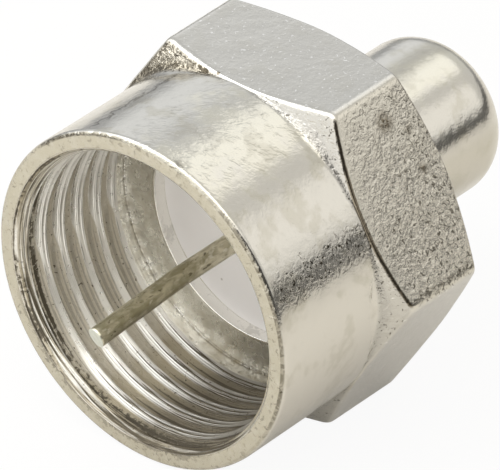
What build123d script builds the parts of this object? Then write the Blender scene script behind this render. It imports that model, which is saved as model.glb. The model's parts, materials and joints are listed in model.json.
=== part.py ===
from build123d import *
import os
from math import cos, radians, sqrt, tan

# Screw-on coaxial terminator, 75 ohm, with a resistor sealed inside it.
# Millimetres, +Z up. It lies on one flat of its hexagon. Its axis is Y, the mouth faces -Y,
# and the origin is the centre of the mouth.

# Threaded socket, measured inward from the mouth
thread_crest_radius = 4.57
thread_depth = 0.21
thread_length = 4.20
entry_chamfer = 0.27
relief_length = 0.64
relief_corner_radius = 0.16
shoulder_width = 0.95

# Collar and hexagon
collar_wall = 0.595
collar_length = 4.27
collar_inset = 0.005
collar_draft_angle = 0.4
rim_edge_radius = 0.15
hexagon_length = 3.71
hexagon_edge_radius = 0.33
front_chamfer_angle = 32.6
rear_chamfer_angle = 26.5
washer_face_inset = 0.10
cut_margin = 1.0

# Insulator disc
insulator_recess = 0.44
insulator_thickness = 1.00
insulator_clearance = 0.01
pin_hole_clearance = 0.02

# Resistor
lead_radius = 0.31
core_radius = 0.75
core_length = 4.98
cap_wall = 0.20
cap_length = 1.00
coating_wall = 0.20
coating_waist = 0.12
coating_taper = 0.24
coating_end = 0.25
coating_edge_chamfer = 0.25
resistor_gap = 0.07

# Centre pin, which is the resistor's front lead
pin_reach = 2.06
pin_straight = 3.33
pin_bend_angle = 2.4
pin_bend_radius = 6.0
pin_bend_heading = -45.0
pin_clip_angle = 20.0

# Rear lead, folded back beside the resistor and trapped under the insulator
lead_exit = 0.20
lead_gap = 0.04
lead_bore_clearance = 0.04
lead_turn_radius = 0.50
lead_foot_inset = 0.42
lead_slot_clearance = 0.03

# Housing behind the hexagon
housing_wall = 0.64
housing_end_wall = 0.74
crown_radius = 3.3
crown_edge_radius = 1.25
bore_mouth_chamfer = 0.15
bore_end_chamfer = 0.65
bore_end_clearance = 0.10

# Places along the axis
shoulder = thread_length + relief_length
insulator_front = shoulder + insulator_recess
insulator_back = insulator_front + insulator_thickness
coating_front = insulator_back + resistor_gap
front_cap_face = coating_front + coating_end
core_front = front_cap_face + cap_wall
core_rear = core_front + core_length
rear_cap_face = core_rear + cap_wall
coating_rear = rear_cap_face + coating_end
hexagon_rear = collar_length + hexagon_length

# Radii
relief_radius = thread_crest_radius + thread_depth
seat_radius = thread_crest_radius - shoulder_width
apothem = relief_radius + collar_wall
collar_radius = apothem - collar_inset
corner_radius = apothem / cos(radians(30))
cap_radius = core_radius + cap_wall
coating_radius = cap_radius + coating_wall
waist_radius = coating_radius - coating_waist

# Rear lead's route and the bore that it needs
lead_offset = coating_radius + lead_gap + lead_radius
lead_bend_radius = lead_offset / 2
lead_bend_start = coating_rear + lead_exit
resistor_bore_radius = lead_offset + lead_radius + lead_bore_clearance
bore_end = lead_bend_start + lead_bend_radius + lead_radius + bore_end_clearance
housing_radius = resistor_bore_radius + housing_wall
tip = bore_end + housing_end_wall
crown_edge = tip - crown_radius + sqrt(crown_radius**2 - housing_radius**2)


def chamfer_rise(radius, angle):
    """How far a hexagon's chamfer cone stands off its mid-flat edge at this radius."""
    return tan(radians(angle)) * (radius - apothem)


def turned(*points):
    """Solid turned about Y from an outline of (radius, place along Y) points."""
    return revolve(make_face(Polyline(*points, close=True)), Axis.Y)


def rounded(outline, corner, radius):
    """Outline with its corner at this (radius, place along Y) rounded."""
    return fillet(outline.vertices().sort_by_distance((*corner, 0))[0], radius)


def tube_along(path, radius):
    """Round wire of this radius along a path."""
    section = Plane(origin=path @ 0, z_dir=path % 0) * Circle(radius)
    return sweep(section, path=path)


def turned_blank():
    """Slightly tapered collar, and the round housing with its domed end, before boring."""
    barrel_end = collar_length + hexagon_length / 2
    side = Polyline(
        (0, 0),
        (collar_radius, 0),
        (collar_radius - tan(radians(collar_draft_angle)) * barrel_end, barrel_end),
        (housing_radius, barrel_end),
        (housing_radius, crown_edge),
    )
    crown = RadiusArc((housing_radius, crown_edge), (0, tip), -crown_radius)
    outline = make_face([side, crown, Line((0, tip), (0, 0))])
    outline = rounded(outline, (collar_radius, 0), rim_edge_radius)
    outline = rounded(outline, (housing_radius, crown_edge), crown_edge_radius)
    return revolve(outline, Axis.Y)


def hexagon_blank():
    """Hexagon prism with rounded edges, cut by a chamfer cone at each end.

    The front cone runs on inside the collar, so that the two cross at a clear angle.
    """
    envelope_radius = corner_radius + cut_margin
    washer_radius = apothem - washer_face_inset
    front_face = collar_length + chamfer_rise(relief_radius, front_chamfer_angle)
    rear_face = hexagon_rear - chamfer_rise(washer_radius, rear_chamfer_angle)
    envelope = turned(
        (0, front_face),
        (relief_radius, front_face),
        (envelope_radius, collar_length + chamfer_rise(envelope_radius, front_chamfer_angle)),
        (envelope_radius, hexagon_rear - chamfer_rise(envelope_radius, rear_chamfer_angle)),
        (washer_radius, rear_face),
        (0, rear_face),
    )
    outline = RegularPolygon(apothem, 6, major_radius=False)
    outline = fillet(outline.vertices(), hexagon_edge_radius)
    prism = extrude(Plane.XZ * outline, -rear_face)
    return prism & envelope


def socket():
    """Everything removed from the mouth: bore, relief, insulator seat and resistor bore."""
    outline = make_face(
        Polyline(
            (0, -entry_chamfer),
            (thread_crest_radius + 2 * entry_chamfer, -entry_chamfer),
            (thread_crest_radius, entry_chamfer),
            (thread_crest_radius, thread_length),
            (relief_radius, thread_length + thread_depth),
            (relief_radius, shoulder),
            (seat_radius, shoulder),
            (seat_radius, insulator_back),
            (resistor_bore_radius + bore_mouth_chamfer, insulator_back),
            (resistor_bore_radius, insulator_back + bore_mouth_chamfer),
            (resistor_bore_radius, bore_end - bore_end_chamfer),
            (resistor_bore_radius - bore_end_chamfer, bore_end),
            (0, bore_end),
            close=True,
        )
    )
    outline = rounded(outline, (relief_radius, shoulder), relief_corner_radius)
    return revolve(outline, Axis.Y)


def connector_body():
    """One casting: collar, hexagon and housing, hollow from the mouth."""
    return turned_blank() + hexagon_blank() - socket()


def insulator():
    """Pressed-in disc with the pin's hole and a slot for the rear lead in its back."""
    disc = turned(
        (lead_radius + pin_hole_clearance, insulator_front),
        (seat_radius - insulator_clearance, insulator_front),
        (seat_radius - insulator_clearance, insulator_back),
        (lead_radius + pin_hole_clearance, insulator_back),
    )
    slot_start = lead_offset - lead_radius - lead_slot_clearance
    slot_width = 2 * (lead_radius + lead_slot_clearance)
    slot = Pos((slot_start + seat_radius) / 2, insulator_back - lead_radius, 0) * Box(
        seat_radius - slot_start, 2 * lead_radius, slot_width
    )
    return disc - slot


def centre_pin():
    """Front lead: straight through the insulator, then slightly bent, with a clipped tip."""
    bend_start = insulator_front - pin_straight
    bend_length = pin_bend_radius * radians(pin_bend_angle)
    free_length = bend_start - bend_length + pin_reach
    root = Line((0, front_cap_face), (0, bend_start))
    bend = JernArc(root @ 1, root % 1, pin_bend_radius, pin_bend_angle)
    free_end = Line(bend @ 1, (bend @ 1) + (bend % 1) * (free_length + lead_radius))
    wire = tube_along(Wire([root, bend, free_end]), lead_radius)
    clip = Plane(
        origin=(bend @ 1) + (bend % 1) * free_length,
        z_dir=(bend % 1).rotate(Axis.X, pin_clip_angle),
    )
    wire = split(wire, bisect_by=clip, keep=Keep.BOTTOM)
    return Rot(0, -pin_bend_heading, 0) * wire


def rear_lead():
    """Rear lead: out of the rear cap, back along the resistor, and out over the seat."""
    foot_height = insulator_back - lead_radius
    turn_start = foot_height + lead_turn_radius
    out = Line((0, rear_cap_face), (0, lead_bend_start))
    bend = JernArc(out @ 1, out % 1, lead_bend_radius, -180)
    back = Line(bend @ 1, (lead_offset, turn_start))
    turn = JernArc(back @ 1, back % 1, lead_turn_radius, 90)
    foot = Line(turn @ 1, (seat_radius - lead_foot_inset, foot_height))
    return tube_along(Wire([out, bend, back, turn, foot]), lead_radius)


def ceramic_core():
    """Resistor's rod."""
    return turned(
        (0, core_front),
        (core_radius, core_front),
        (core_radius, core_rear),
        (0, core_rear),
    )


def end_cap(face, inward):
    """Cup pressed on the rod: its closed face lies at face, and its skirt points inward."""
    skirt_end = face + inward * cap_length
    floor = face + inward * cap_wall
    return turned(
        (0, face),
        (cap_radius, face),
        (cap_radius, skirt_end),
        (core_radius, skirt_end),
        (core_radius, floor),
        (0, floor),
    )


def resistor_coating():
    """Dipped coating: thicker over the two caps, waisted between them, closed round the leads."""
    front_skirt = front_cap_face + cap_length
    rear_skirt = rear_cap_face - cap_length
    end_radius = coating_radius - coating_edge_chamfer
    outside = turned(
        (0, coating_front),
        (end_radius, coating_front),
        (coating_radius, coating_front + coating_edge_chamfer),
        (coating_radius, front_skirt),
        (waist_radius, front_skirt + coating_taper),
        (waist_radius, rear_skirt - coating_taper),
        (coating_radius, rear_skirt),
        (coating_radius, coating_rear - coating_edge_chamfer),
        (end_radius, coating_rear),
        (0, coating_rear),
    )
    inside = turned(
        (0, front_cap_face),
        (cap_radius, front_cap_face),
        (cap_radius, front_skirt),
        (core_radius, front_skirt),
        (core_radius, rear_skirt),
        (cap_radius, rear_skirt),
        (cap_radius, rear_cap_face),
        (0, rear_cap_face),
    )
    lead_hole = turned(
        (0, coating_front),
        (lead_radius, coating_front),
        (lead_radius, coating_rear),
        (0, coating_rear),
    )
    return outside - inside - lead_hole


pieces = {
    "connector_body": connector_body(),
    "insulator": insulator(),
    "centre_pin": centre_pin(),
    "ceramic_core": ceramic_core(),
    "front_end_cap": end_cap(front_cap_face, 1),
    "rear_end_cap": end_cap(rear_cap_face, -1),
    "resistor_coating": resistor_coating(),
    "rear_lead": rear_lead(),
}

os.makedirs("parts", exist_ok=True)
for name, piece in pieces.items():
    export_step(piece, f"parts/{name}.step")
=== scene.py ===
import json
from math import asin, atan2, cos, pi, radians, sin, tan

import bpy
import numpy as np
from mathutils import Matrix, Vector


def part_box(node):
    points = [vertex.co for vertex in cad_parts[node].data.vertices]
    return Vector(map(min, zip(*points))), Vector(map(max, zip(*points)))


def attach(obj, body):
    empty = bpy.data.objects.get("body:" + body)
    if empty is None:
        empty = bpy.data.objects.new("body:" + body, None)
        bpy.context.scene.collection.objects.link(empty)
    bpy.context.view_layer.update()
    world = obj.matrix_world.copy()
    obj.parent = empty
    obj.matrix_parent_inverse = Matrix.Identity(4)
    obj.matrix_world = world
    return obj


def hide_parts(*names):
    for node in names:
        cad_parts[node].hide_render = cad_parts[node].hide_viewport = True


# Coaxial terminator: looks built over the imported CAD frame.
# Sizes are in millimetres, in the CAD's own frame, and turn into metres when a mesh is made.
# The axis is Y, with the mouth at 0, and angles round it run from +X towards +Z.

MM = 0.001

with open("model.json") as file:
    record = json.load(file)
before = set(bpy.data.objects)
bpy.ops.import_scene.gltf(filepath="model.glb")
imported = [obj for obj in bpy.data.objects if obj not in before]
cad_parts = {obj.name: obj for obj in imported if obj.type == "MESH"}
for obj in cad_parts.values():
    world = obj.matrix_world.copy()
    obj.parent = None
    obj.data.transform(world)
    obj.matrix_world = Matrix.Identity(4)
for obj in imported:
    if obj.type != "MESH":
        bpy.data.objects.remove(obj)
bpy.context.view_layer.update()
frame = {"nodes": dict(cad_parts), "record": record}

# Sizes that the frame gives
casting_low, casting_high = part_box("connector_body")
insulator_low, insulator_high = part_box("insulator")
pin_mount = next(m for m in frame["record"]["mounts"] if m["name"] == "centre_pin")
apothem = casting_high.z / MM
tip = casting_high.y / MM
insulator_front = insulator_low.y / MM
insulator_back = insulator_high.y / MM
insulator_radius = insulator_high.x / MM
insulator_clearance = 0.01
seat_radius = insulator_radius + insulator_clearance
seat_taper = 0.03

# How far the seat closes on the insulator's front edge, so that no gap shows there
seat_grip = 0.004

# Thread: right-hand, 32 turns to the inch
pitch = 25.4 / 32
crest_radius = 4.57
root_radius = 4.78
crest_rear_edge = 1.106
crest_rear_angle = 226.0
thread_end = 4.20
relief_start = 4.41
relief_undercut = 0.1
shoulder = 4.84
relief_corner = shoulder - 0.16

# One turn of the thread: share of the pitch from a crest's rear edge, and depth below the crest
thread_profile = (
    (0.00, 0.030),
    (0.04, 0.110),
    (0.13, 0.190),
    (0.19, 0.210),
    (0.35, 0.200),
    (0.58, 0.155),
    (0.94, 0.006),
    (0.98, 0.000),
    (1.00, 0.030),
)

# Mouth: its entry chamfer carries fine rings left by the tool
entry_chamfer = 0.27
mouth_radius = crest_radius + entry_chamfer
mouth_edge = 0.03
ring_spacing = 0.13
ring_depth = 0.012
ring_sway = 1.5
rings_fade_in = 0.1
rings_fade_out = (0.7, 1.0)

# Collar, hexagon and housing
collar_radius = 5.37
collar_draft = radians(0.4)
front_chamfer = radians(32.6)
rear_chamfer = radians(26.5)
front_chamfer_start = 4.27
rear_chamfer_end = 7.98
hexagon_edge_radius = 0.33
washer_radius = 5.275
housing_radius = 2.49
crown_radius = 3.3
crown_edge_radius = 1.25

# How far each corner of the casting's outline is eased
housing_foot_easing = 0.10
washer_easing = 0.07
rear_edge_easing = 0.10
front_edge_easing = 0.17
collar_foot_easing = 0.38
rim_easing = 0.19
mouth_easing = 0.03
shoulder_easing = 0.12
seat_edge_easing = 0.04
seat_foot_easing = 0.02

# Cavity behind the insulator
bore_radius = 1.85
bore_mouth_chamfer = 0.15
bore_end_chamfer = 0.65
bore_end = 13.59
bore_middle_radius = 0.2

# Columns of the casting's mesh: degrees from a corner to its last one, and how many there are
corner_reach = 2.2
corner_columns = 9
flat_columns = 31

# Rows of the casting's mesh in each arc of the dome and in the thread
dome_steps = 12
socket_row_count = 214

# Largest share of a side that the easing of a corner may take up
easing_limit = 0.45


def column_angles():
    """Angles of the casting's columns, closer together over the hexagon's six corners."""
    corner = np.linspace(-corner_reach, corner_reach, corner_columns)
    flat = np.linspace(corner_reach, 60 - corner_reach, flat_columns + 2)[1:-1]
    sixth = np.concatenate([corner, flat])
    return np.radians(np.concatenate([60 * turn + sixth for turn in range(6)]))


columns = column_angles()


def hexagon_radius(angles):
    """Radius of the hexagon's outline with its rounded corners."""
    off_corner = (angles + radians(30)) % radians(60) - radians(30)
    centre = (apothem - hexagon_edge_radius) / cos(radians(30))
    tangent = atan2(
        hexagon_edge_radius * sin(radians(30)),
        centre + hexagon_edge_radius * cos(radians(30)),
    )
    flat = apothem / np.cos(radians(30) - np.abs(off_corner))
    reach = np.clip(hexagon_edge_radius**2 - (centre * np.sin(off_corner)) ** 2, 0, None)
    rounded = centre * np.cos(off_corner) + np.sqrt(reach)
    return np.where(np.abs(off_corner) < tangent, rounded, flat)


def ring(radius, along):
    """One row of the casting: (radius, place along Y) at every column."""
    return np.stack([radius + 0 * columns, along + 0 * columns], axis=-1)


def between(first, last, steps):
    """Rows after the first one on the straight line to the last, closer together at its ends."""
    shares = (1 - np.cos(np.linspace(0, pi, steps + 1))) / 2
    return [first + (last - first) * share for share in shares[1:]]


def rounded_corner(entry, corner, leave):
    """Rows of a small curve from entry to leave, pulled towards the corner."""
    return [
        (1 - share) ** 2 * entry + 2 * share * (1 - share) * corner + share**2 * leave
        for share in (0.2, 0.4, 0.6, 0.8, 1.0)
    ]


def eased_outline(corners):
    """Rows along an outline whose corners are each (radius, along, easing, steps before it)."""
    points = [ring(radius, along) for radius, along, _, _ in corners]
    rows = [points[0]]
    start = points[0]
    for index in range(1, len(points)):
        corner, easing, steps = points[index], corners[index][2], corners[index][3]
        if index == len(points) - 1 or easing == 0:
            rows += between(start, corner, steps)
            start = corner
            continue
        before = points[index - 1] - corner
        after = points[index + 1] - corner
        before_length = np.linalg.norm(before, axis=-1, keepdims=True)
        after_length = np.linalg.norm(after, axis=-1, keepdims=True)
        reach = np.minimum(easing, easing_limit * np.minimum(before_length, after_length))
        entry = corner + before / before_length * reach
        leave = corner + after / after_length * reach
        rows += between(start, entry, steps)
        rows += rounded_corner(entry, corner, leave)
        start = leave
    return rows


def arc_rows(centre_radius, centre_along, radius, first_turn, last_turn):
    """Rows of an arc, turned from the axis towards the side, without its first row."""
    return [
        ring(centre_radius + radius * sin(turn), centre_along + radius * cos(turn))
        for turn in np.linspace(first_turn, last_turn, dome_steps + 1)[1:]
    ]


def dome_rows():
    """The housing's domed end, from its tip to its straight side."""
    crown_centre = tip - crown_radius
    edge_centre_radius = housing_radius - crown_edge_radius
    turn = asin(edge_centre_radius / (crown_radius - crown_edge_radius))
    edge_centre = crown_centre + (crown_radius - crown_edge_radius) * cos(turn)
    crown = arc_rows(0, crown_centre, crown_radius, 0, turn)
    return crown + arc_rows(edge_centre_radius, edge_centre, crown_edge_radius, turn, pi / 2)


def cone_off_flats(radius, angle):
    """How far a chamfer cone has run along Y at this radius, counted from the flats' middle."""
    return tan(angle) * (radius - apothem)


def outside_rows(dome_edge):
    """Rows from the housing's side over the hexagon and the collar to the mouth's inner edge."""
    corner = hexagon_radius(columns)
    rear_edge = rear_chamfer_end - cone_off_flats(corner, rear_chamfer)
    front_edge = front_chamfer_start + cone_off_flats(corner, front_chamfer)
    washer_face = rear_chamfer_end - cone_off_flats(washer_radius, rear_chamfer)
    collar_end_radius = collar_radius - tan(collar_draft) * front_chamfer_start
    collar_end = front_chamfer_start + cone_off_flats(collar_end_radius, front_chamfer)
    return eased_outline([
        (housing_radius, dome_edge, 0, 0),
        (housing_radius, washer_face, housing_foot_easing, 14),
        (washer_radius, washer_face, washer_easing, 10),
        (corner, rear_edge, rear_edge_easing, 8),
        (corner, front_edge, front_edge_easing, 14),
        (collar_end_radius, collar_end, collar_foot_easing, 9),
        (collar_radius, 0, rim_easing, 16),
        (mouth_radius, 0, mouth_easing, 6),
        (mouth_radius - mouth_edge, mouth_edge, 0, 1),
    ])[1:]


def thread_radius(along):
    """Radius of the threaded wall, at every column, at this place along Y."""
    helix = crest_rear_edge - pitch * (np.degrees(columns) - crest_rear_angle) / 360
    turn = ((along - helix) / pitch) % 1.0
    shares, depths = zip(*thread_profile)
    return crest_radius + np.interp(turn, shares, depths)


def wider(first, second, softness=0.02):
    """The larger of two radii, with a small round where one takes over from the other."""
    return (first + second + np.sqrt((first - second) ** 2 + softness**2)) / 2


def entry_radius(along):
    """Radius of the entry chamfer at this place along Y, with the tool's rings in it."""
    rings = ring_depth * np.sin(2 * pi * along / ring_spacing + ring_sway * np.sin(columns))
    strength = np.interp(along, [0.0, rings_fade_in, *rings_fade_out], [0, 1, 1, 0])
    return mouth_radius - along + rings * strength


def socket_rows():
    """Rows from the mouth's inner edge through the thread and the relief."""
    rows = []
    for along in np.linspace(mouth_edge, relief_corner, socket_row_count + 1)[1:]:
        relief_radii = [crest_radius - relief_undercut, root_radius]
        relief = np.interp(along, [thread_end, relief_start], relief_radii)
        radius = wider(wider(thread_radius(along), entry_radius(along)), relief)
        if along > entry_chamfer:
            radius = np.minimum(radius, root_radius)
        rows.append(ring(radius, along))
    return rows


def seat_rows():
    """Rows from the relief over the shoulder and the seat, and on through the hidden cavity."""
    return eased_outline([
        (root_radius, relief_corner, 0, 0),
        (root_radius, shoulder, shoulder_easing, 2),
        (seat_radius, shoulder, seat_edge_easing, 8),
        (seat_radius, insulator_front - seat_taper, seat_foot_easing, 10),
        (insulator_radius - seat_grip, insulator_front, 0, 1),
        (insulator_radius, insulator_back, 0, 2),
        (bore_radius + bore_mouth_chamfer, insulator_back, 0, 3),
        (bore_radius, insulator_back + bore_mouth_chamfer, 0, 1),
        (bore_radius, bore_end - bore_end_chamfer, 0, 4),
        (bore_radius - bore_end_chamfer, bore_end, 0, 1),
        (bore_middle_radius, bore_end, 0, 1),
    ])[1:]


def new_piece(name, vertices, faces):
    """Object of this name from vertices in metres, with smooth shading."""
    mesh = bpy.data.meshes.new(name)
    mesh.from_pydata(vertices, [], faces)
    mesh.validate()
    mesh.shade_smooth()
    piece = bpy.data.objects.new(name, mesh)
    bpy.context.scene.collection.objects.link(piece)
    return piece


def turned_piece(name, rows, first_pole, last_pole):
    """Closed piece from rows of (radius, along) at every column, with a point on the axis at each end."""
    grid = np.array(rows)
    radius, along = grid[..., 0], grid[..., 1]
    points = np.stack([radius * np.cos(columns), along, radius * np.sin(columns)], axis=-1)
    count, around = radius.shape
    vertices = np.concatenate([points.reshape(-1, 3), [[0, first_pole, 0], [0, last_pole, 0]]])
    index = np.arange(count * around).reshape(count, around)
    beside = np.roll(index, -1, axis=1)
    quads = np.stack([index[:-1], index[1:], beside[1:], beside[:-1]], axis=-1).reshape(-1, 4)
    first = np.stack([np.full(around, count * around), index[0], beside[0]], axis=-1)
    last = np.stack([np.full(around, count * around + 1), beside[-1], index[-1]], axis=-1)
    faces = quads.tolist() + first.tolist() + last.tolist()
    return new_piece(name, (vertices * MM).tolist(), faces)


def make_casting():
    """Collar, hexagon and housing in one, with the real thread cut in its mouth."""
    dome = dome_rows()
    rows = dome + outside_rows(dome[-1][0][1]) + socket_rows() + seat_rows()
    piece = turned_piece("casting", rows, tip, bore_end)
    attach(piece, "root")
    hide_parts("connector_body")
    return piece


# Centre pin: a wire that the clip has cut at an angle
pin_radius = pin_mount["dims"]["r_mm"]
pin_sides = 40
pin_bend_radius = 6.0
pin_rear = 6.60
pin_rear_steps = 24
pin_bend_steps = 6
pin_front_steps = 39
clip_angle = radians(20)
clip_reach = 0.5
clip_rings = (0.93, 0.88, 0.40)
clip_crown = 0.02


def pin_line():
    """Centre line of the pin as (point, direction) pairs, and the direction that it bends to."""
    axis = Vector(pin_mount["axis"])
    middle = Vector(pin_mount["pos_m"]) / MM
    reach = pin_mount["dims"]["length_mm"] / 2
    aside = Vector((axis.x, 0, axis.z))
    bend = asin(aside.length)
    aside.normalize()
    back = Vector((0, -1, 0))
    start = middle - axis * reach
    bend_start = start.y + pin_bend_radius * sin(bend)
    rear_places = np.linspace(pin_rear, bend_start, pin_rear_steps)
    line = [(Vector((0, along, 0)), back) for along in rear_places]
    for turn in np.linspace(0, bend, pin_bend_steps + 1)[1:]:
        off = aside * pin_bend_radius * (1 - cos(turn))
        point = Vector((0, bend_start - pin_bend_radius * sin(turn), 0)) + off
        line.append((point, back * cos(turn) + aside * sin(turn)))
    for share in np.linspace(0, 1, pin_front_steps + 1)[1:]:
        line.append((start + axis * 2 * reach * share, axis))
    return line, aside


def pin_clip():
    """A point on the pin's oblique cut, and the direction that the cut faces."""
    line, aside = pin_line()
    tip_point, towards = line[-1]
    across = aside.cross(Vector((0, -1, 0)))
    return tip_point, (towards + across * tan(clip_angle)).normalized()


def pin_vertices(line, across):
    """Rings of the wire, leaning into the cut near the tip, then the rings of the cut's face."""
    around = [2 * pi * side / pin_sides for side in range(pin_sides)]
    tip_point, tip_direction = line[-1]
    vertices = []
    for point, towards in line:
        out = towards.cross(across)
        near_tip = max(0.0, 1 - (tip_point - point).length / clip_reach)
        for turn in around:
            spot = point + (out * cos(turn) + across * sin(turn)) * pin_radius
            lean = near_tip * sin(turn) * pin_radius * tan(clip_angle)
            vertices.append(spot - towards * lean)
    out = tip_direction.cross(across)
    for share in clip_rings:
        for turn in around:
            off = (out * cos(turn) + across * sin(turn)) * share
            rise = clip_crown - sin(turn) * tan(clip_angle) * share
            vertices.append(tip_point + (off + tip_direction * rise) * pin_radius)
    vertices.append(tip_point + tip_direction * clip_crown * pin_radius)
    vertices.append(line[0][0])
    return vertices


def pin_faces(rings):
    """Faces between the pin's rings, and those that close its two ends."""
    faces = []
    for row in range(rings - 1):
        start = row * pin_sides
        for side in range(pin_sides):
            here, beside = start + side, start + (side + 1) % pin_sides
            faces.append((here, beside, beside + pin_sides, here + pin_sides))
    last = (rings - 1) * pin_sides
    for side in range(pin_sides):
        beside = (side + 1) % pin_sides
        faces.append((last + side, last + beside, rings * pin_sides))
        faces.append((beside, side, rings * pin_sides + 1))
    return faces


def make_pin():
    """Bare wire with a slight bend and an obliquely clipped tip, flat-shaded where it is cut."""
    line, aside = pin_line()
    across = aside.cross(Vector((0, -1, 0)))
    vertices = [vertex * MM for vertex in pin_vertices(line, across)]
    piece = new_piece("pin", vertices, pin_faces(len(line) + len(clip_rings)))
    first_cut_face = (len(line) - 1) * pin_sides
    for face in piece.data.polygons[first_cut_face:]:
        face.use_smooth = False
    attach(piece, "root")
    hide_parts("centre_pin")
    return piece


class Signal:
    """One output of a shader node, which takes part in Python arithmetic."""

    def __init__(self, shader, socket):
        self.shader = shader
        self.socket = socket

    def calculate(self, operation, *values):
        return self.shader.node("Math", {"operation": operation}, dict(enumerate(values)))

    def __add__(self, other):
        return self.calculate("ADD", self, other)

    __radd__ = __add__

    def __mul__(self, other):
        return self.calculate("MULTIPLY", self, other)

    __rmul__ = __mul__

    def __sub__(self, other):
        return self.calculate("SUBTRACT", self, other)

    def __rsub__(self, other):
        return self.calculate("SUBTRACT", other, self)

    def root(self):
        """Square root."""
        return self.calculate("SQRT", self)

    def size(self):
        """The value without its sign."""
        return self.calculate("ABSOLUTE", self)

    def or_larger(self, other):
        return self.calculate("MAXIMUM", self, other)

    def part_turn(self):
        """What is left over whole turns, from 0 to 1."""
        return self.calculate("FRACT", self)

    def angle_from(self, across):
        """Angle in degrees, from -180 to 180, of the point (across, self)."""
        return self.calculate("ARCTAN2", self, across) * (180 / pi)

    def above(self, low, high):
        """0 below low, 1 above high, smooth between them. It falls where low is the larger."""
        return self.shader.node(
            "MapRange",
            {"interpolation_type": "SMOOTHSTEP"},
            {"Value": self, "From Min": low, "From Max": high},
        )

    def within(self, low, high, softness):
        """1 between low and high, and 0 outside them."""
        rise = self.above(low - softness, low + softness)
        return rise * self.above(high + softness, high - softness)

    def blend(self, first, second):
        """Colour between two colours, by this value."""
        return self.shader.node("Mix", {"data_type": "RGBA"}, {0: self, 6: first, 7: second}, 2)


class Shader:
    """Node tree of a material or the world."""

    def __init__(self, owner):
        owner.use_nodes = True
        self.tree = owner.node_tree
        self.tree.nodes.clear()

    def node(self, kind, settings=None, inputs=None, output=0):
        """Adds a node, sets its settings and then its sockets, and returns one of its outputs."""
        node = self.tree.nodes.new("ShaderNode" + kind)
        for name, value in (settings or {}).items():
            setattr(node, name, value)
        for key, value in (inputs or {}).items():
            if isinstance(value, Signal):
                self.tree.links.new(value.socket, node.inputs[key])
            else:
                node.inputs[key].default_value = value
        if not node.outputs:
            return None
        return Signal(self, node.outputs[output])

    def vector(self, operation, first, second, output=0):
        return self.node("VectorMath", {"operation": operation}, {0: first, 1: second}, output)

    def place(self):
        """Place on the object, in millimetres."""
        metres = self.node("TexCoord", None, None, "Object")
        return self.vector("MULTIPLY", metres, (1 / MM, 1 / MM, 1 / MM))

    def parts(self, vector):
        return [self.node("SeparateXYZ", None, {0: vector}, axis) for axis in "XYZ"]

    def joined(self, x, y, z):
        return self.node("CombineXYZ", None, {0: x, 1: y, 2: z})

    def near(self, place, centre, reach):
        """1 at a centre, falling to 0 at this distance from it."""
        return self.vector("DISTANCE", place, centre, "Value").above(reach, 0.0)

    def near_any(self, place, spots):
        """The sum of near for several (centre, reach) spots."""
        return sum(self.near(place, centre, reach) for centre, reach in spots)

    def noise(self, place, scale, detail=2.0, distortion=0.0):
        inputs = {"Vector": place, "Scale": scale, "Detail": detail, "Distortion": distortion}
        return self.node("TexNoise", None, inputs)

    def stretched_noise(self, place, scales, detail=2.0, distortion=0.0):
        """Noise with its own scale along each axis."""
        return self.noise(self.vector("MULTIPLY", place, scales), 1.0, detail, distortion)

    def cells(self, place, scale):
        """Distance from the nearest of many scattered points."""
        return self.node("TexVoronoi", None, {"Vector": place, "Scale": scale})

    def bump(self, height):
        """Normal from a height in millimetres."""
        return self.node("Bump", None, {"Height": height, "Distance": MM, "Strength": 1.0})

    def principled(self, **inputs):
        named = {name.replace("_", " ").title(): value for name, value in inputs.items()}
        result = self.node("BsdfPrincipled", None, named)
        self.node("OutputMaterial", None, {"Surface": result})


def new_material(name):
    """Empty material, and the shader that its nodes go into."""
    material = bpy.data.materials.new(name)
    return material, Shader(material)


def dress(piece, material):
    """Gives the piece this material in place of its own."""
    piece.data.materials.clear()
    piece.data.materials.append(material)


# Colours of the plate, from bright metal to dirt and painted shade
flake_white = (0.97, 0.96, 0.93, 1)
polished_nickel = (0.94, 0.93, 0.89, 1)
bright_nickel = (0.87, 0.86, 0.815, 1)
warm_nickel = (0.76, 0.735, 0.64, 1)
beige_nickel = (0.73, 0.69, 0.59, 1)
clean_nickel = (0.72, 0.695, 0.63, 1)
cool_nickel = (0.69, 0.675, 0.63, 1)
satin_nickel = (0.50, 0.485, 0.445, 1)
shaded_grey_nickel = (0.37, 0.36, 0.34, 1)
pale_tarnish = (0.54, 0.51, 0.42, 1)
olive_tarnish = (0.50, 0.445, 0.33, 1)
dull_zinc = (0.42, 0.38, 0.30, 1)
brown_soot_and_shade = (0.15, 0.12, 0.075, 1)
soot_and_shade = (0.10, 0.085, 0.06, 1)

# Single marks on the casting, each a place and how far it reaches
rim_chip = ((1.25, 0.1, 5.15), 0.45)
edge_nick = ((-0.80, 4.30, 5.38), 0.11)
large_stain = ((3.60, 6.47, 4.51), 0.52)
small_stains = (((3.88, 7.20, 4.02), 0.26), ((4.48, 7.15, 2.99), 0.30))
socket_blotches = (((-3.25, 5.05, -1.6), 0.5), ((0.0, 5.15, -3.62), 0.55))

# Stretches round the axis that look different from the rest, in degrees
right_flat_arc = (0, 60)
left_flats_start = 122
left_chamfer_arc = (100, 140)
wedge_arc = (40, 112)
edge_reflection_arc = (1.0, 58.5)
lower_edge_arc = (1.4, 2.6)
pitted_arc = (20.5, 30.0)
dashed_arc = (62, 100)
fold_arc = (112.6, 113.6)
upper_outline_arc = (98, 136)
right_outline_arc = (-25, 60)
torn_mouth_arc = (-158, -62)
wide_groove_arc = (-172, -128)
streaked_arc = (-172, -104)
# The socket's lower side, where painted shade darkens the thread and the relief
lower_shade_arc = (-113, -5)
# The socket's bottom, painted darker still as shade
bottom_shade_arc = (-98, -40)
upper_arc = (98, 168)
housing_right_arc = (-24, 13)
housing_top_arc = (76, 94)

# Where the soiled first groove ends, in turns of the helix from the crest measured above
first_groove_end = -0.5


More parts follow.
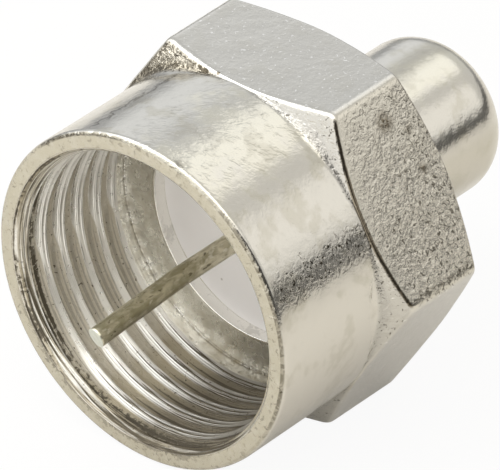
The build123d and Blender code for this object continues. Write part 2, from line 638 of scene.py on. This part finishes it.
class CastingSurface:
    """Where a point of the casting lies, which zone it is in, and the noises of its finish."""

    def __init__(self, shader):
        self.shader = shader
        self.place = shader.place()
        self.x, self.along, self.z = shader.parts(self.place)
        self.radius = (self.x * self.x + self.z * self.z).root()
        self.angle = self.z.angle_from(self.x)
        self.cloud = shader.noise(self.place, 0.9, 3.0)
        self.patch = shader.noise(self.place, 2.6, 3.0)
        self.grain = shader.noise(self.place, 5.5, 3.0, 0.9)
        self.fine = shader.noise(self.place, 17.0, 2.0)
        self.find_outside_zones()
        self.find_socket_zones()
        self.find_thread()
        self.find_rough_places()

    def find_outside_zones(self):
        """Socket or outside, the hexagon's flats, its front chamfer, the rim and the housing."""
        along, radius, angle = self.along, self.radius, self.angle
        self.socket = radius.above(mouth_radius + 0.03, mouth_radius - 0.01)
        self.socket = self.socket * along.above(6.0, 5.5)
        outside = 1 - self.socket
        cone = (radius - apothem) * tan(front_chamfer)
        self.off_front_chamfer = along - cone - front_chamfer_start
        self.off_rear_chamfer = rear_chamfer_end - (radius - apothem) * tan(rear_chamfer) - along
        self.reach = self.z.size()
        for side in (-1, 1):
            across = self.x * cos(radians(30)) + self.z * (side * sin(radians(30)))
            self.reach = self.reach.or_larger(across.size())
        self.on_flats = self.reach.above(apothem - 0.08, apothem - 0.03)
        self.hexagon = self.on_flats * self.off_front_chamfer.above(-0.02, 0.03)
        self.hexagon = self.hexagon * self.off_rear_chamfer.above(-0.02, 0.03)
        self.right_flat = self.hexagon * angle.within(*right_flat_arc, 1.0)
        past_left_edges = angle.size() - left_flats_start
        self.left_flats = self.hexagon * past_left_edges.above(-1, 1)
        past_collar = (along - front_chamfer_start).above(-0.19, -0.03)
        self.chamfer = self.off_front_chamfer.above(0.05, -0.02) * past_collar
        self.chamfer = self.chamfer * outside * (1 - self.on_flats)
        self.left_chamfer = self.chamfer * angle.within(*left_chamfer_arc, 5.0)
        self.rim = along.above(0.10, 0.02) * outside
        self.housing = radius.above(3.0, 2.6) * along.above(8.0, 8.2)

    def find_socket_zones(self):
        """Mouth, threaded wall, relief, shoulder step and insulator seat."""
        off_seat = self.radius - seat_radius
        past_thread = self.along - thread_end
        deep = self.socket * (self.along - shoulder).above(-0.10, -0.04)
        wall = self.socket * (self.radius - crest_radius).above(-0.27, -0.07)
        undercut = self.socket * (self.radius - root_radius).above(-0.08, -0.03)
        self.threaded = wall * past_thread.above(0.20, 0.05)
        self.mouth = self.socket * self.along.above(0.75, 0.30)
        self.relief = undercut * past_thread.above(0.10, 0.22)
        self.step = deep * off_seat.above(0.08, 0.18)
        self.seat = deep * off_seat.above(0.13, 0.03)

    def find_thread(self):
        """Share of the pitch from a crest's rear edge, and from it the grooves and the crests."""
        angle, grain = self.angle, self.grain
        start = crest_rear_edge / pitch + crest_rear_angle / 360
        turns = self.along * (1 / pitch) + angle * (1 / 360) - start
        self.turn = turns.part_turn()
        self.streak = self.shader.noise(
            self.shader.joined(self.turn * 11, self.x * 0.3, self.z * 0.3), 1.0, 3.0
        )
        self.ring_lines = self.shader.noise(
            self.shader.joined(self.along * 19, self.x * 0.35, self.z * 0.35), 1.0, 3.0
        )
        wobbly_turn = self.turn + (grain - 0.5) * 0.05 + (self.patch - 0.5) * 0.08
        self.narrow_groove = angle.above(92, 104) + angle.above(-166, -176)
        wide_groove = angle.within(*wide_groove_arc, 9)
        groove_end = wobbly_turn - wide_groove * 0.12 + self.narrow_groove * 0.11
        self.groove = self.threaded * wobbly_turn.above(0.0, 0.04) * groove_end.above(0.66, 0.58)
        crest = (self.turn + (grain - 0.5) * 0.03).within(0.60, 0.97, 0.05)
        self.crest = self.threaded * crest * (1 - self.groove)
        past_end = turns + angle.above(0.5, -0.5) - first_groove_end
        self.first_groove = self.groove * past_end.above(0.05, -0.05)

    def find_rough_places(self):
        """Where the casting is rough, pitted or specked, and where its right flat is coarsest."""
        along, angle, patch = self.along, self.angle, self.patch
        outside = 1 - self.socket
        coarse_end = (along * 0.6 - self.z * 0.45 + (patch - 0.5) * 2.5).above(1.4, 4.2)
        smooth_edge = self.off_front_chamfer.above(0.15, 0.60)
        # The band's pits and dark specks are partly real pitting and partly a painted reflection of a dark
        # band
        band = outside * (angle + (patch - 0.5) * 12).within(*pitted_arc, 1.5)
        band = band * along.above(4.5, 4.3)
        self.band = band * (along + 2 * self.radius.above(5.0, 2.6)).above(0.1, 0.5)
        self.coarse = self.right_flat * (0.28 + coarse_end * 0.95) * (0.15 + smooth_edge * 0.85)
        self.coarse = self.coarse + self.left_flats * 0.5
        plain_flats = self.hexagon * (1 - self.right_flat)
        self.flaw = self.coarse + plain_flats * 0.10 + self.chamfer * 0.7 + self.band * 0.20
        self.flaw = self.flaw + outside * 0.12
        pits = self.shader.noise(self.place, 8.0, 3.0, 1.0) + self.coarse * 0.075
        pits = (pits + self.left_chamfer * 0.10).above(0.645, 0.69)
        pitted = self.coarse + self.chamfer * 0.8 + self.band * 0.3 + self.left_chamfer
        self.pits = pits * pitted.above(0.0, 0.5)
        specks = self.shader.noise(self.place, 10.0, 1.0, 0.5) + self.band * 0.08
        self.specks = specks.above(0.68, 0.76)


def plate_relief(on):
    """Height of the casting's skin: waves, grain, tool marks, streaks in the thread and pits."""
    outside = 1 - on.socket
    grain = on.grain - 0.5
    scratch = on.shader.stretched_noise(on.place, (3.0, 14.0, 9.0), 2.0, 0.4)
    slanted = on.shader.joined(on.x * 2.2 + on.along * 1.8, on.along * 4.5 - on.x * 3.8, on.z * 3)
    dashes = on.shader.noise(slanted, 1.0, 2.0, 0.8)
    dashed = on.angle.within(*dashed_arc, 6) * outside * on.along.above(4.3, 4.2)
    dashed = dashed * on.patch.above(0.40, 0.56)
    ragged = on.rim * 0.036 + on.mouth * 0.030 + on.groove * 0.024 + on.step * 0.03
    return (
        (on.cloud - 0.5) * 0.020
        + (on.patch - 0.5) * (0.004 + 0.004 * outside)
        + grain * on.flaw * 0.043
        + (on.fine - 0.5) * (on.flaw * 0.006 + 0.0010)
        + (scratch - 0.5) * on.chamfer * 0.030
        + (on.streak - 0.5) * (on.threaded * 0.014 + on.crest * 0.034)
        + (on.ring_lines - 0.5) * on.mouth * 0.095
        + grain * (ragged + on.relief * 0.03)
        + (dashes - 0.5) * dashed * 0.028
        - on.pits * 0.030
    )


def clean_plate(on):
    """The plate's tones: warmer or cooler round the axis, and darker on the housing's top and right side.
    """
    drift = on.angle + (on.cloud - 0.5) * 45 + (on.patch - 0.5) * 22
    colour = drift.above(50, 66).blend(clean_nickel, warm_nickel)
    colour = drift.above(76, 92).blend(colour, cool_nickel)
    colour = on.hexagon.blend(colour, cool_nickel)
    # The housing is darker and warmer on its top and its right side
    darker_sides = on.angle.within(*housing_right_arc, 5) + on.angle.within(*housing_top_arc, 4)
    colour = (on.housing * darker_sides * 0.45).blend(colour, pale_tarnish)
    colour = (on.right_flat * 0.8).blend(colour, beige_nickel)
    return (on.left_flats * 0.9).blend(colour, satin_nickel)


def soiled_rim(on, colour):
    """Tarnish on the rim, dirt on its torn lower edge, dark outlines, the outer one a painted reflection
    darkest at the top and right, a chip and a fold line.
    """
    angle, grain, radius, rim = on.angle, on.grain, on.radius, on.rim
    torn_mouth = angle.within(*torn_mouth_arc, 8)
    colour = (rim * (0.35 + on.patch * 0.8 + grain * 0.4)).blend(colour, pale_tarnish)
    off_mouth = radius - mouth_radius
    ragged = rim * torn_mouth * (off_mouth + (grain - 0.5) * 0.7).above(0.15, 0.06)
    colour = (ragged * (0.4 + grain.above(0.45, 0.60) * 0.5)).blend(colour, soot_and_shade)
    chip = on.shader.near(on.place, *rim_chip) * grain.above(0.46, 0.56)
    # The outer outline is a painted reflection, darkest on the top and the right; the inner line follows
    # the mouth's edge
    darker = angle.within(*upper_outline_arc, 5) * 0.65 + angle.within(*right_outline_arc, 8) * 0.5
    outline = (radius - collar_radius).within(-0.13, -0.03, 0.02) * on.along.above(0.20, 0.08)
    outline = outline * (0.2 + darker)
    inner = (off_mouth + (grain - 0.5) * 0.16).within(-0.04, 0.03, 0.02)
    inner = inner * rim * (1 - torn_mouth)
    outline = (outline + inner * 0.6) * (0.45 + grain.above(0.40, 0.55) * 0.55)
    wandering = angle + (grain - 0.5) * 5 + (on.patch - 0.5) * 6
    fold = wandering.within(*fold_arc, 0.5) * on.along.within(0.35, 4.0, 0.2) * (1 - on.socket)
    spots = on.shader.noise(on.place, 6.0, 3.0, 0.6).above(0.57, 0.68) * rim
    return (chip * 0.6 + outline + fold * 0.75 + spots * 0.45).blend(colour, soot_and_shade)


def stained_flats(on, colour):
    """Stains on the outside, and the dark lines along the hexagon's edges; the one beside the front chamfer
    is a painted reflection.
    """
    shader, grain = on.shader, on.grain
    stain = (on.cloud + on.patch * 0.5).above(0.76, 0.94) * (1 - on.hexagon * 0.7)
    colour = (stain * 0.45).blend(colour, pale_tarnish)
    olive = shader.near(on.place, *large_stain) * 1.2 + shader.near_any(on.place, small_stains)
    olive = olive * (0.45 + grain.above(0.40, 0.58) * 0.55)
    colour = (olive * 0.85).blend(colour, brown_soot_and_shade)
    lower_edge = on.hexagon * (on.angle + (grain - 0.5) * 2.5).within(*lower_edge_arc, 0.5)
    colour = (lower_edge * grain.above(0.42, 0.52) * 0.75).blend(colour, soot_and_shade)
    rear_edge = (on.off_rear_chamfer + (grain - 0.5) * 0.06).within(-0.03, 0.035, 0.015)
    rear_edge = on.on_flats * rear_edge * grain.above(0.40, 0.55)
    colour = (rear_edge * 0.8).blend(colour, soot_and_shade)
    # Painted reflection: a dark line on the right flat beside the front chamfer's edge
    painted_edge_reflection = (on.off_front_chamfer + (grain - 0.5) * 0.05).within(-0.03, 0.085, 0.02)
    painted_edge_reflection = painted_edge_reflection * on.angle.within(*edge_reflection_arc, 0.8) * on.reach.above(apothem - 0.08, apothem - 0.05)
    nick = shader.near(on.place, *edge_nick).above(0.2, 0.5)
    return ((painted_edge_reflection + nick) * 0.88).blend(colour, brown_soot_and_shade)


def dull_chamfers(on, colour):
    """The front chamfer: satin, with painted shade in its upper wedge, and bare zinc with a dirty border on
    the left.
    """
    colour = (on.chamfer * 0.85).blend(colour, satin_nickel)
    # Painted shade: the chamfer's upper wedge is greyer, which tones down its reflection
    wedge = on.chamfer * on.angle.within(*wedge_arc, 6)
    colour = (wedge * 0.6).blend(colour, shaded_grey_nickel)
    colour = on.left_chamfer.blend(colour, dull_zinc)
    border = on.reach.within(apothem - 0.16, apothem - 0.06, 0.02) + on.along.above(4.42, 4.36)
    border = border * on.left_chamfer * on.grain.above(0.42, 0.54)
    return (border * 0.85).blend(colour, soot_and_shade)


def speckled(on, colour):
    """Bright flakes on the clean flats, and dirt in the pits and specks; along the pitted band the specks
    are partly a painted reflection.
    """
    flakes = on.shader.noise(on.place, 8.0, 1.0, 0.4).above(0.66, 0.72)
    flakes = flakes * on.hexagon * (1 - on.right_flat)
    colour = (flakes * 0.8).blend(colour, flake_white)
    colour = (on.pits * 0.80).blend(colour, soot_and_shade)
    return (on.specks * (on.band + on.coarse * 0.6 + 0.10)).blend(colour, soot_and_shade)


def plate_wear_and_shade(on, lower_side_shade):
    """How far the plate inside the socket has turned olive: real wear in the grooves, at the mouth's rings
    and on the relief and step, and painted shade on the lower side.
    """
    wear_and_shade = on.groove * (0.45 + on.grain * 0.45 + lower_side_shade * 0.25)
    wear_and_shade = wear_and_shade + on.mouth * on.ring_lines.above(0.42, 0.56) * 0.8
    wear_and_shade = wear_and_shade + (on.relief + on.step) * (0.02 + on.patch.above(0.38, 0.64) * 0.28)
    return wear_and_shade + lower_side_shade * (on.threaded * 0.35 + on.relief * 0.4)


def plate_grime_and_shade(on, lower_side_shade):
    """How dark the socket is painted: dirt in blotches, along the thread and round the mouth, and painted
    shade on the lower side, at the bottom, on the lower crests and in the upper grooves.
    """
    angle, grain, streak, rings = on.angle, on.grain, on.streak, on.ring_lines
    blotch = on.shader.near_any(on.place, socket_blotches)
    bottom_shade = angle.within(*bottom_shade_arc, 10)
    torn_mouth = angle.within(*torn_mouth_arc, 8)
    streaked = angle.within(*streaked_arc, 8) * streak.above(0.55, 0.61)
    floor = on.seat * 0.5 + on.step + on.relief
    return (
        (blotch * 0.25 + grain).above(0.58, 0.78) * floor * 0.42
        + on.first_groove * (grain * 0.6 + streak * 0.5).above(0.50, 0.60) * 0.85
        + on.specks * (on.threaded * 0.4 + on.groove * 0.5)
        + on.mouth * (rings * 0.5 + streak * 0.5).above(0.52, 0.62) * 0.8
        # Painted shade on the socket's lower side
        + lower_side_shade * on.threaded * (0.10 + streak.above(0.5, 0.62) * 0.5)
        + lower_side_shade * on.relief * 0.2
        + streaked * (on.threaded + on.relief * 0.5) * 0.34
        # Painted shade at the socket's bottom: on the thread, the grooves, the relief and the crests
        + bottom_shade * (on.threaded * 0.40 + on.groove * 0.25 + on.relief * 0.25)
        + bottom_shade * on.crest * on.turn.above(0.74, 0.60) * 0.45
        # Painted shade in the upper grooves, and a painted shadow line on the upper left where each groove
        # starts behind its crest
        + angle.within(*upper_arc, 6) * on.groove * 0.30
        + on.narrow_groove * on.groove * on.turn.above(0.20, 0.04) * 0.5
        + on.crest * (streak.above(0.55, 0.62) * 0.30 + lower_side_shade * 0.18)
        + on.mouth * rings.above(0.54, 0.59) * (0.25 + torn_mouth * 0.55)
    )


def nickel_plate():
    """Nickel plate on a rough casting: smooth where turned, pitted and tarnished elsewhere, with painted
    shade and painted reflections in places.
    """
    material, shader = new_material("nickel_plate")
    on = CastingSurface(shader)
    outside = speckled(on, dull_chamfers(on, stained_flats(on, soiled_rim(on, clean_plate(on)))))
    # Painted shade on the socket's lower side, with a ragged edge
    lower_side_shade = (on.angle + (on.cloud - 0.5) * 30).within(*lower_shade_arc, 16)
    wear_and_shade = plate_wear_and_shade(on, lower_side_shade)
    inside = wear_and_shade.blend(bright_nickel, olive_tarnish)
    inside = (on.crest * (1 - on.mouth) * 0.9 + on.seat).blend(inside, polished_nickel)
    inside = plate_grime_and_shade(on, lower_side_shade).blend(inside, soot_and_shade)
    roughness = 0.16 + (on.patch - 0.4) * 0.10 + on.flaw * 0.05 + on.left_flats * 0.34
    roughness = roughness + on.socket * 0.10 + wear_and_shade * on.socket * 0.10 - on.seat * 0.08
    upper = on.angle.within(*upper_arc, 6)
    shader.principled(
        base_color=on.socket.blend(outside, inside),
        metallic=1 - on.groove * 0.5 - on.crest * (0.15 + upper * 0.60),
        roughness=roughness + on.groove * 0.15 + on.crest * 0.02,
        normal=shader.bump(plate_relief(on)),
    )
    return material


def insulator_plastic():
    """Even, slightly satin moulded plastic with faint flow marks and a few dust specks."""
    material, shader = new_material("insulator_plastic")
    place = shader.place()
    flow = shader.noise(place, 1.2, 2.0, 0.5)
    fine = shader.noise(place, 18.0, 2.0)
    dust = shader.cells(place, 1.1).above(0.07, 0.03)
    colour = (flow * 0.5).blend((0.86, 0.835, 0.82, 1), (0.83, 0.815, 0.81, 1))
    colour = (dust * 0.6).blend(colour, (0.30, 0.27, 0.22, 1))
    shader.principled(
        base_color=colour,
        roughness=0.42 + (flow - 0.5) * 0.1,
        normal=shader.bump((fine - 0.5) * 0.002),
    )
    return material


def tinned_wire():
    """Dull tinned copper: drawn lines along it, olive tarnish in patches, paler where it is cut."""
    material, shader = new_material("tinned_wire")
    place = shader.place()
    drawn = shader.stretched_noise(place, (7.0, 1.1, 7.0), 3.0)
    mottle = shader.stretched_noise(place, (4.5, 2.0, 4.5), 3.0, 0.6)
    chips = shader.stretched_noise(place, (6.0, 3.0, 6.0), 3.0, 0.2)
    grain = shader.noise(place, 9.0, 2.0, 0.4)
    colour = mottle.above(0.34, 0.66).blend((0.70, 0.66, 0.52, 1), (0.42, 0.39, 0.27, 1))
    colour = (drawn.above(0.50, 0.64) * 0.45).blend(colour, (0.30, 0.27, 0.17, 1))
    colour = (chips.above(0.60, 0.74) * 0.55).blend(colour, (0.88, 0.86, 0.78, 1))
    colour = (chips.above(0.38, 0.30) * 0.8).blend(colour, (0.16, 0.14, 0.09, 1))
    clip_point, clip_facing = pin_clip()
    off_clip = shader.vector("SUBTRACT", place, clip_point)
    height_off_clip = shader.vector("DOT_PRODUCT", off_clip, clip_facing, "Value")
    clipped = height_off_clip.above(-0.035, -0.015)
    colour = (clipped * (0.6 + grain * 0.5)).blend(colour, (0.52, 0.545, 0.49, 1))
    height = (drawn - 0.5) * 0.020 + (mottle - 0.5) * 0.030 + (grain - 0.5) * 0.008
    shader.principled(
        base_color=colour,
        metallic=1.0 - clipped * 0.5,
        roughness=0.34 + (mottle - 0.5) * 0.25,
        normal=shader.bump(height),
    )
    return material


def fired_ceramic():
    """Resistor's rod under its thin film: matt with a fine grain."""
    material, shader = new_material("film_ceramic")
    grain = shader.noise(shader.place(), 14.0, 3.0)
    shader.principled(
        base_color=grain.blend((0.82, 0.80, 0.74, 1), (0.74, 0.72, 0.66, 1)),
        roughness=0.55 + grain * 0.15,
        normal=shader.bump(grain * 0.004),
    )
    return material


def pressed_steel():
    """Plain pressed cap: fine rings round it from drawing."""
    material, shader = new_material("cap_metal")
    place = shader.place()
    rings = shader.stretched_noise(place, (0.6, 14.0, 0.6))
    mottle = shader.noise(place, 4.0, 2.0)
    shader.principled(
        base_color=mottle.blend((0.70, 0.70, 0.69, 1), (0.78, 0.78, 0.77, 1)),
        metallic=1.0,
        roughness=0.25 + rings * 0.15,
        normal=shader.bump(rings * 0.004),
    )
    return material


def dipped_lacquer():
    """Glossy dipped coating, with soft waves and lighter where it is thin."""
    material, shader = new_material("coating_lacquer")
    place = shader.place()
    wave = shader.noise(place, 1.5, 2.0)
    fine = shader.noise(place, 12.0, 2.0)
    colour = wave.above(0.35, 0.65).blend((0.40, 0.58, 0.69, 1), (0.50, 0.66, 0.75, 1))
    shader.principled(
        base_color=colour,
        roughness=0.16 + fine * 0.1,
        normal=shader.bump(wave * 0.03 + fine * 0.001),
    )
    return material


# Camera, found by fitting the photo: it looks from the front, the right and above
camera_azimuth = radians(39.968)
camera_elevation = radians(34.086)
camera_roll = radians(0.636)
camera_distance = 342.05
camera_target = Vector((-0.4388, 5.375, -0.6069))
camera_focal_length = 852.73
camera_sensor_width = 36


def make_camera():
    """Camera at the photograph's angle, turned a little about its own axis."""
    data = bpy.data.cameras.new("camera")
    data.sensor_width = camera_sensor_width
    data.lens = camera_focal_length
    camera = bpy.data.objects.new("camera", data)
    bpy.context.scene.collection.objects.link(camera)
    bpy.context.scene.camera = camera
    back = Vector((
        sin(camera_azimuth) * cos(camera_elevation),
        -cos(camera_azimuth) * cos(camera_elevation),
        sin(camera_elevation),
    ))
    level = Vector((cos(camera_azimuth), sin(camera_azimuth), 0))
    right = (level * cos(camera_roll) + back.cross(level) * sin(camera_roll)).normalized()
    turn = Matrix((right, back.cross(right), back)).transposed().to_4x4()
    spot = (camera_target + back * camera_distance) * MM
    camera.matrix_world = Matrix.Translation(spot) @ turn


# Studio: a pale floor, and a small tent of cloth with softboxes behind it. Metres.
floor_half_width = 2.0
floor_colour = (0.74, 0.71, 0.655, 1)
white = (1, 1, 1, 1)
black = (0, 0, 0, 1)
floor_seen_white = 0.93
floor_mirrored_white = 0.15
tent_radius = 0.09
tent_centre_along = 0.00825
tent_rings = 24
tent_columns = 48
cloth_behind = 0.72
cloth_in_front = 3.0
cool_light = (0.98, 0.99, 1.0, 1)
warm_light = (1.0, 0.98, 0.945, 1)
brightest = 3.5

# Azimuth from +Y towards +X, elevation, half width, softness, all in degrees, and brightness
patches = (
    (-3, 51, 15, 5, 1.22),
    (46, 28, 13, 6, 1.08),
    (-47, 24, 11, 6, 0.97),
    (-137, 45, 26, 14, 3.4),
    (118, 20, 32, 8, 0.08),
)
front_patch = (176, 20, 40, 12, 1.6)

# Dark seam round the tent's foot, as heights on a sphere of radius 1, and paler on the left
seam_low, seam_high = -0.09, 0.15
seam_light = 0.10
left_seam_light = 0.42


def direction(azimuth, elevation):
    """Direction with azimuth counted from +Y towards +X, both in degrees."""
    turn, rise = radians(azimuth), radians(elevation)
    return (sin(turn) * cos(rise), cos(turn) * cos(rise), sin(rise))


def stage_object(name, vertices, faces):
    """Piece of the studio, made as a smooth-shaded mesh like the others."""
    piece = new_piece(name, vertices, faces)
    return piece


def make_floor():
    """Pale paper, which the camera sees nearly white and metal mirrors a little whiter."""
    side, height = floor_half_width, casting_low.z
    corners = [(x * side, y * side, height) for x, y in ((-1, -1), (1, -1), (1, 1), (-1, 1))]
    floor = stage_object("floor", corners, [(0, 1, 2, 3)])
    material, shader = new_material("floor")
    paper = shader.node("BsdfDiffuse", None, {"Color": floor_colour})
    glow = shader.node("Emission", None, {"Color": white, "Strength": 1.0})
    camera_ray, glossy_ray, glass_ray = (
        shader.node("LightPath", None, None, ray)
        for ray in ("Is Camera Ray", "Is Glossy Ray", "Is Transmission Ray")
    )
    share = camera_ray * floor_seen_white + (glossy_ray + glass_ray) * floor_mirrored_white
    result = shader.node("MixShader", None, {0: share, 1: paper, 2: glow})
    shader.node("OutputMaterial", None, {"Surface": result})
    dress(floor, material)


def lit(shader, towards, light, patch):
    """The tent's light with one more patch on it."""
    azimuth, elevation, half_width, softness, brightness = patch
    facing = shader.vector("DOT_PRODUCT", towards, direction(azimuth, elevation), "Value")
    outer, inner = cos(radians(half_width + softness)), cos(radians(half_width - softness))
    return light + (brightness - light) * facing.above(outer, inner)


def tent_mesh():
    """Vertices and faces of a half sphere round the object, from the floor to its top."""
    vertices, faces = [], []
    for row in range(tent_rings + 1):
        rise = radians(90 * row / tent_rings)
        for column in range(tent_columns):
            turn = 2 * pi * column / tent_columns
            vertices.append((
                tent_radius * cos(turn) * cos(rise),
                tent_centre_along + tent_radius * sin(turn) * cos(rise),
                casting_low.z + tent_radius * sin(rise),
            ))
    for row in range(tent_rings):
        low, high = row * tent_columns, (row + 1) * tent_columns
        for column in range(tent_columns):
            beside = (column + 1) % tent_columns
            faces.append((low + column, low + beside, high + beside, high + column))
    return vertices, faces


def tent_light(shader):
    """Brightness of the cloth: brighter in front, with patches on it and a dark seam at its foot."""
    place = shader.node("NewGeometry", None, None, "Position")
    place = shader.vector("SUBTRACT", place, (0, tent_centre_along, 0))
    towards = shader.node("VectorMath", {"operation": "NORMALIZE"}, {0: place})
    aside, ahead, height = shader.parts(towards)
    light = ahead.above(0.25, -0.35) * (cloth_in_front - cloth_behind) + cloth_behind
    for patch in patches:
        light = lit(shader, towards, light, patch)
    seam = height.above(seam_low - 0.03, seam_low + 0.03)
    seam = seam * height.above(seam_high + 0.025, seam_high - 0.025)
    left = shader.vector("DOT_PRODUCT", towards, direction(-45, 0), "Value").above(0.4, 0.9)
    seam_glow = left * (left_seam_light - seam_light) + seam_light
    light = lit(shader, towards, light + (seam_glow - light) * seam, front_patch)
    return light, aside.above(-0.7, 0.5).blend(cool_light, warm_light)


def make_tent():
    """Half sphere of pale cloth round the object, which the camera itself doesn't see."""
    tent = stage_object("tent", *tent_mesh())
    tent.visible_camera = False
    material, shader = new_material("tent")
    light, tint = tent_light(shader)
    colour = (light * (1 / brightest)).blend(black, tint)
    result = shader.node("Emission", None, {"Color": colour, "Strength": brightest})
    shader.node("OutputMaterial", None, {"Surface": result})
    dress(tent, material)


def make_world():
    """Even white round everything."""
    world = bpy.data.worlds.new("world")
    bpy.context.scene.world = world
    shader = Shader(world)
    result = shader.node("Background", None, {"Color": white, "Strength": 1.0})
    shader.node("OutputWorld", None, {"Surface": result})


make_camera()
dress(make_casting(), nickel_plate())
dress(make_pin(), tinned_wire())
dress(frame["nodes"]["insulator"], insulator_plastic())
dress(frame["nodes"]["ceramic_core"], fired_ceramic())
dress(frame["nodes"]["front_end_cap"], pressed_steel())
dress(frame["nodes"]["rear_end_cap"], bpy.data.materials["cap_metal"])
dress(frame["nodes"]["resistor_coating"], dipped_lacquer())
dress(frame["nodes"]["rear_lead"], bpy.data.materials["tinned_wire"])
make_floor()
make_tent()
make_world()
bpy.context.scene.view_settings.view_transform = "Standard"
